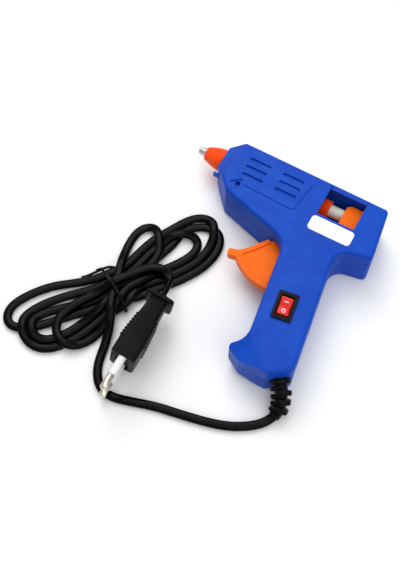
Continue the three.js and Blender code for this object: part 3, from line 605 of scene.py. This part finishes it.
# ---- Nozzle, its cover and the glue stick ----
def make_nozzle():
    profile = rounded_profile([
        [-1.4, 0.75], [-1.4, 1.85], [2.8, 2.75], [3.4, 3], [16.2, 3], [16.2, 2.7],
        [20, 2.7], [20, 1.2], [4, 1.2], [2, 0.75], [-1.2, 0.75],
    ], 0.25)
    nozzle = turned("nozzle_turned", profile, GUN)
    placed(nozzle, ALUMINIUM, "body", "aluminium", "nozzle")


def make_nozzle_cover():
    bulge = [
        [3.3 + 10.4 * t, 3.8 + 2.6 * math.sin(t * math.pi / 2)] for t in np.linspace(0.05, 1, 12)
    ]
    profile = rounded_profile(
        [[4.2, 3.3], [3.2, 3.35], [3.2, 3.8], *bulge, [16.2, 6.4], [16.2, 3.3], [4.4, 3.3]], 0.3
    )
    cover = turned("nozzle_cover_moulded", profile, GUN)
    placed(cover, RED_SILICONE, "body", "silicone_red", "nozzle_cover")


def make_glue_stick():
    profile = rounded_profile([[41, 0.05], [41, 3.5], [107, 3.5], [107, 0.05]], 0.5)
    stick = turned("glue_stick_cast", profile, GUN, 48)
    placed(stick, GLUE, "glue_stick", "glue", "glue_stick")


# ---- Rocker ----
ROCKER_PLACE = GUN @ Matrix.Translation(Vector((86.3, -69.5, 13.25)) * MM) @ Matrix.Rotation(
    math.radians(8), 4, "Z"
)
ROCKER_FACE = [[-4.8, 0.32], [0, -0.1], [4.8, 1.55]]


def face_height(y):
    """Height of the rocker's top face over the gun's side at y along the rocker."""
    ends = np.array(ROCKER_FACE)
    return float(np.interp(y, ends[:, 0], ends[:, 1]))


def make_rocker():
    """The rocker as a block with rounded edges, whose top dips over its axle."""
    across = [-3.2, -3.05, -2.8, -2, 0, 2, 2.8, 3.05, 3.2]
    drop = [0.45, 0.16, 0.02, 0, 0, 0, 0.02, 0.16, 0.45]
    along = [-4.8, -4.7, -4.4, -3, -1.5, -0.5, 0, 0.5, 1.5, 3, 4.4, 4.7, 4.8]
    fall = [0.4, 0.14, 0, 0, 0, 0, 0.05, 0, 0, 0, 0, 0.14, 0.4]
    top = [
        [(x, y, face_height(y) - d - f) for x, d in zip(across, drop)]
        for y, f in zip(along, fall)
    ]
    base = [[(x * 0.97, y * 0.85, -4.3) for x in across] for y in along]
    columns = len(across)
    vertices = [v for row in top for v in row] + [v for row in base for v in row]
    lower = len(along) * columns
    faces = []
    for i in range(len(along) - 1):
        for j in range(columns - 1):
            a = i * columns + j
            faces.append((a, a + 1, a + columns + 1, a + columns))
            faces.append((lower + a, lower + a + columns, lower + a + columns + 1, lower + a + 1))
    rim = (
        list(range(columns))
        + [i * columns + columns - 1 for i in range(1, len(along))]
        + [(len(along) - 1) * columns + j for j in range(columns - 2, -1, -1)]
        + [i * columns for i in range(len(along) - 2, 0, -1)]
    )
    for a, b in zip(rim, rim[1:] + rim[:1]):
        faces.append((a, lower + a, lower + b, b))
    rocker = mesh_object("rocker_moulded", vertices, faces, ROCKER_PLACE)
    placed(rocker, ROCKER_RED, "rocker", "rocker_red", "rocker")
    rocker.modifiers.new("smooth", "NODES").node_group = SMOOTH


def mark_slab(outline, y_centre, lift=0.03, thick=0.16):
    """A thin raised mark on the rocker's face from an outline of x and y pairs."""
    count = len(outline)
    low = [(x, y_centre + y, face_height(y_centre + y) - thick) for x, y in outline]
    high = [(x, y_centre + y, face_height(y_centre + y) + lift) for x, y in outline]
    return low + high, count


def ring_mark(y_centre, outer, inner, sides=28):
    """A raised ring on the rocker's face."""
    vertices, faces = [], []
    for radius, lift in ((outer, -0.16), (outer, 0.04), (inner, 0.04), (inner, -0.16)):
        for k in range(sides):
            angle = 2 * math.pi * k / sides
            y = y_centre + radius * math.sin(angle)
            vertices.append((radius * math.cos(angle), y, face_height(y) + lift))
    for ring in range(4):
        following = (ring + 1) % 4
        for k in range(sides):
            n = (k + 1) % sides
            faces.append((
                ring * sides + k, ring * sides + n, following * sides + n, following * sides + k
            ))
    return vertices, faces


def make_rocker_marks():
    """The usual line and ring of a mains switch, on at the upper end and off at the lower."""
    bar = [(-1.2, -0.24), (1.2, -0.24), (1.2, 0.24), (-1.2, 0.24)]
    vertices, count = mark_slab(bar, 2.4)
    faces = [tuple(reversed(range(count))), tuple(range(count, 2 * count))]
    faces += [(i, (i + 1) % count, count + (i + 1) % count, count + i) for i in range(count)]
    ring, ring_faces = ring_mark(-2.4, 1.15, 0.7)
    start = len(vertices)
    vertices += ring
    faces += [tuple(start + i for i in face) for face in ring_faces]
    marks = mesh_object("rocker_marks", vertices, faces, ROCKER_PLACE)
    marks.data.polygons.foreach_set("use_smooth", [False] * len(marks.data.polygons))
    placed(marks, MARK_WHITE, "rocker", "rocker_red")


# ---- Strain relief ----
RELIEF_START = np.array([100.2, -100, 0])
RELIEF_WAY = np.array([0.56, -0.83, 0]) / np.linalg.norm([0.56, -0.83])
RELIEF_CORNERS = [
    RELIEF_START - 6 * RELIEF_WAY,
    RELIEF_START + 7 * RELIEF_WAY,
    np.array([108, -110, -8]),
    np.array([105.6, -116.3, -10.4]),
]
RELIEF_CORE = 9.2  # where the tapered core starts, past the collar
LUG_ROWS = 4
LUG_PITCH = 4.3
LUG_START = 11
LUG_END = 0.9  # bare length at the sleeve's end
LUGS_A_ROW = 6
LUG_HALF_ANGLE, LUG_SOFT_ANGLE = math.radians(34), math.radians(12)
LUG_HALF_LENGTH, LUG_SOFT_LENGTH = 0.85, 0.4


def bezier(corners, count):
    a, b, c, d = corners
    t = np.linspace(0, 1, count)[:, None]
    return (1 - t) ** 3 * a + 3 * t * (1 - t) ** 2 * b + 3 * t**2 * (1 - t) * c + t**3 * d


def plateau(distance, half, soft):
    """1 within half of a centre, falling smoothly to 0 over soft."""
    t = np.clip((np.abs(distance) - half) / soft, 0, 1)
    return 1 - t * t * (3 - 2 * t)


def relief_radius(s, total):
    """The sleeve's radius at s along it without its lugs: flange, neck, collar, tapered core."""
    if s < RELIEF_CORE:
        flange = 4.6 * plateau(s - 1.2, 1.1, 0.5)
        collar = 5.3 * plateau(s - 7.7, 0.9, 0.55)
        return max(3.4, flange, collar)
    share = (s - RELIEF_CORE) / (total - RELIEF_CORE)
    return 3.5 - 0.6 * share


def lug_height(s, angle, total):
    """How far the staggered lugs stand out: four rows, each a quarter of a pitch on."""
    height = 0.0
    for row in range(LUG_ROWS):
        shift = LUG_PITCH * row / LUG_ROWS
        from_row = (angle - row * math.pi / 2 + math.pi) % (2 * math.pi) - math.pi
        round_lug = plateau(from_row, LUG_HALF_ANGLE, LUG_SOFT_ANGLE)
        for k in range(LUGS_A_ROW):
            centre = LUG_START + shift + k * LUG_PITCH
            if centre < total - LUG_END:
                reach = 2.5 - 0.8 * centre / total
                lengthwise = plateau(s - centre, LUG_HALF_LENGTH, LUG_SOFT_LENGTH)
                height = max(height, reach * round_lug * lengthwise)
    return height


def make_strain_relief():
    line = evenly(bezier(RELIEF_CORNERS, 200), 0.16)
    along = tangents(line)
    side = np.cross(along, [0, 0, 1.0])
    side /= np.linalg.norm(side, axis=1, keepdims=True)
    up = np.cross(side, along)
    total = np.linalg.norm(np.diff(line, axis=0), axis=1).sum()
    stations = np.linspace(0, total, len(line))
    angles = np.arange(56) * 2 * math.pi / 56
    rings = []
    for i, s in enumerate(stations):
        end = min(1, 0.72 + 0.28 * min(s, total - s) / 0.5)
        radii = [
            (relief_radius(s, total) + (lug_height(s, a, total) if s > RELIEF_CORE else 0)) * end
            for a in angles
        ]
        ring = np.outer(radii * np.cos(angles), side[i]) + np.outer(radii * np.sin(angles), up[i])
        rings.append(line[i] + ring)
    relief = loft("strain_relief_moulded", rings, GUN)
    return placed(relief, PLUG_BLACK, "body", "plug_black", "strain_relief")


# ---- Plug ----
PLUG_SIDES = 64
PIN_PITCH = 19
RIBS = 8
RIBS_START, RIBS_END = 9, 25
RIB_DEPTH = 0.7


def plug_ring(y, half_thickness, half_height, corner, shift=0.0):
    """A rounded rectangle across the plug at y, its corners round by the given radius."""
    points = []
    per_corner = PLUG_SIDES // 4
    for k, (sx, sz) in enumerate(((1, 1), (-1, 1), (-1, -1), (1, -1))):
        for step in range(per_corner):
            angle = (k + step / (per_corner - 1)) * math.pi / 2
            points.append((
                sx * (half_thickness - corner) + corner * math.cos(angle),
                y,
                sz * (half_height - corner) + corner * math.sin(angle) + shift,
            ))
    return np.array(points)


def grip_rib(y):
    """The grip ribs across the plug's two broad faces."""
    if not RIBS_START < y < RIBS_END:
        return 0.0
    share = (y - RIBS_START) / (RIBS_END - RIBS_START)
    return RIB_DEPTH * (0.5 + 0.5 * math.cos(share * RIBS * 2 * math.pi + math.pi))


def make_plug():
    rings = [
        plug_ring(1.6, 2.2, 11.0, 2.1),
        plug_ring(1.6, 3.4, 11.2, 2.4),
        plug_ring(0.2, 3.7, 11.4, 2.5),
        plug_ring(0.0, 4.0, 11.6, 2.6),
        plug_ring(0.0, 6.2, 12.0, 2.4),
        plug_ring(0.25, 6.65, 12.35, 2.4),
        plug_ring(0.8, 6.8, 12.5, 2.4),
    ]
    for y in np.arange(1.6, 36.2, 0.3):
        share = max(0.0, (y - 6) / 30)
        ease = share * share * (3 - 2 * share)
        rings.append(plug_ring(
            y, 6.8 - 1.8 * ease + grip_rib(y), 12.5 - 5.1 * max(0, (y - 11) / 25.2),
            2.4 - 0.4 * ease,
        ))
    rings += [
        plug_ring(36.4, 5.2, 7.5, 2),
        plug_ring(36.6, 7.2, 9.0, 2.2),
        plug_ring(36.9, 7.6, 9.4, 2.4),
        plug_ring(38.5, 7.6, 9.4, 2.4),
        plug_ring(38.9, 7.2, 9.0, 2.2),
        plug_ring(39.1, 4.2, 5.6, 2),
        plug_ring(40.6, 2.9, 3.7, 1.6),
        plug_ring(41.2, 2.5, 3.3, 1.4),
    ]
    plug = loft("plug_moulded", rings, PLUG)
    placed(plug, PLUG_BLACK, "body", "plug_black", "plug_body")
    plug.modifiers.new("smooth", "NODES").node_group = SMOOTH
    return plug


def make_pin(end, z):
    """A pin with a rounded tip and, at its root, a white insulating sleeve."""
    upright = PLUG @ Matrix.Translation(Vector((0, 0, z)) * MM)
    place = upright @ Matrix.Rotation(math.radians(90), 4, "Z")
    tip = [[-19 + 1.9 * (1 - math.cos(a)), 2 * math.sin(a)] for a in np.linspace(0.05, 1.5, 7)]
    metal = turned(
        f"plug_pin_{end}_turned",
        [*tip, [-10.35, 2], [-10.2, 1.85], [-10.2, 1.3], [1.2, 1.3]], place, 40,
    )
    placed(metal, NICKEL, "body", "nickel", f"plug_pin_{end}")
    sleeve = turned(
        f"pin_sleeve_{end}_moulded",
        rounded_profile([[-10.1, 1.35], [-10.1, 2.02], [1.4, 2.1], [1.4, 1.35]], 0.2), place, 40,
    )
    placed(sleeve, SLEEVE_WHITE, "body", "pin_sleeve", f"pin_sleeve_{end}")
    return [metal, sleeve]


# ---- Twist tie ----
TIE_FREE_END = [
    [-77.7, -48.7, 0.8],
    [-74.6, -45.6, 1.4],
    [-71, -41, 2.4],
    [-67.6, -37.2, 3.2],
    [-64.6, -36, 3.8],
]


def tie_point(offset, height, lean=0.0):
    """A point of the tie: offset across the bundle, height over the table, lean along it."""
    spot = TIE_CENTRE + TIE_WAY * offset + TIE_AHEAD * lean
    return [spot[0], spot[1], height]


def make_tie(line):
    """A plastic-covered wire round the hank's waist, with a long free end."""
    across = (line[:, :2] - TIE_CENTRE) @ TIE_WAY
    along = (line[:, :2] - TIE_CENTRE) @ TIE_AHEAD
    near = line[(np.abs(along) < 5) & (np.abs(across) < 17)]
    near_across = (near[:, :2] - TIE_CENTRE) @ TIE_WAY
    low, high = near_across.min(), near_across.max()
    reach = CORD_WIDTH / 2 + TIE_THICKNESS / 2

    def top_of(offset):
        close = near[np.abs(near_across - offset) < 3]
        if not len(close):
            return 3.4
        return close[:, 2].max() + CORD_HEIGHT / 2 + TIE_THICKNESS / 2 + 0.15

    over = [tie_point(o, top_of(o)) for o in np.linspace(low + 1, high - 1, 6)]
    under = TIE_THICKNESS / 2 + 0.05
    left, right = low - reach, high + reach
    wrap = [
        tie_point(left + 1.6, under),
        tie_point((low + high) / 2, under),
        tie_point(right - 1.6, under),
        tie_point(right, 2.6),
        tie_point(right - 0.6, top_of(high - 1) - 1.2),
        *reversed(over),
        tie_point(left + 0.4, top_of(low + 1) - 1.4),
        tie_point(left - 0.6, 3.4, 0.4),
    ]
    tie = swept_wire("twist_tie_wire", [*wrap, [-72.4, -41.6, 2.2]])
    tail = swept_wire("twist_tie_end", TIE_FREE_END)
    placed(tie, PLUG_BLACK, "body", "cord_black", "twist_tie")
    placed(tail, PLUG_BLACK, "body", "cord_black")
    return [tie, tail]


def swept_wire(name, points):
    line = smooth_line(points, 0.7)
    count = len(line)
    level = np.tile([0.0, 0.0, 1.0], (count, 1)) + 0.01
    flat = 1.7 * TIE_THICKNESS
    return swept(name, line, [flat] * count, [TIE_THICKNESS] * count, np.cross(tangents(line), level))


# ---- Assembly ----
def make_cord():
    line = cord_line()
    count = len(line)
    cord = swept("mains_lead", line, [CORD_WIDTH] * count, [CORD_HEIGHT] * count, cord_wide(line))
    placed(cord, CORD, "body", "cord_black", "cord_lead", "cord_hank", "cord_tail")
    return cord, line


WORLD_STRENGTH = 0.5
# Name, place, size and power of each soft light, in metres and watts.
LIGHTS = [
    ("key", (-0.45, 0.5, 0.9), 0.7, 6),
    ("fill", (0.7, -0.3, 0.8), 0.9, 3),
    ("top", (0.0, 0.0, 1.2), 0.8, 3),
]


def make_stage():
    """A pale floor and soft light from above."""
    surface = Surface("floor", 0.6)
    tone = surface.ranged(surface.noise(60, 2), 0.3, 0.7, 0, 1)
    surface.colour(surface.mixed(tone, linear(244, 245, 246), linear(250, 250, 250)))
    bpy.ops.mesh.primitive_plane_add(size=6, location=(0, 0, -0.0002))
    floor = bpy.context.object
    floor.name = "floor"
    floor.data.materials.append(surface.material)
    world = bpy.data.worlds.new("studio")
    world.use_nodes = True
    world.node_tree.nodes["Background"].inputs["Color"].default_value = (1, 1, 1, 1)
    world.node_tree.nodes["Background"].inputs["Strength"].default_value = WORLD_STRENGTH
    bpy.context.scene.world = world
    for name, place, size, power in LIGHTS:
        light = bpy.data.lights.new(name, "AREA")
        light.size = size
        light.energy = power
        lamp = bpy.data.objects.new(name, light)
        lamp.location = place
        lamp.rotation_mode = "QUATERNION"
        lamp.rotation_quaternion = (-Vector(place)).to_track_quat("-Z", "Y")
        bpy.context.scene.collection.objects.link(lamp)
    bpy.context.scene.view_settings.view_transform = "Standard"


cord, cord_path = make_cord()
finish_nodes()
make_nozzle()
make_nozzle_cover()
make_glue_stick()
make_rocker()
make_rocker_marks()
relief = make_strain_relief()
plug = make_plug()
pins = [*make_pin("upper", PIN_PITCH / 2), *make_pin("lower", -PIN_PITCH / 2)]
tie = make_tie(cord_path)
make_stage()
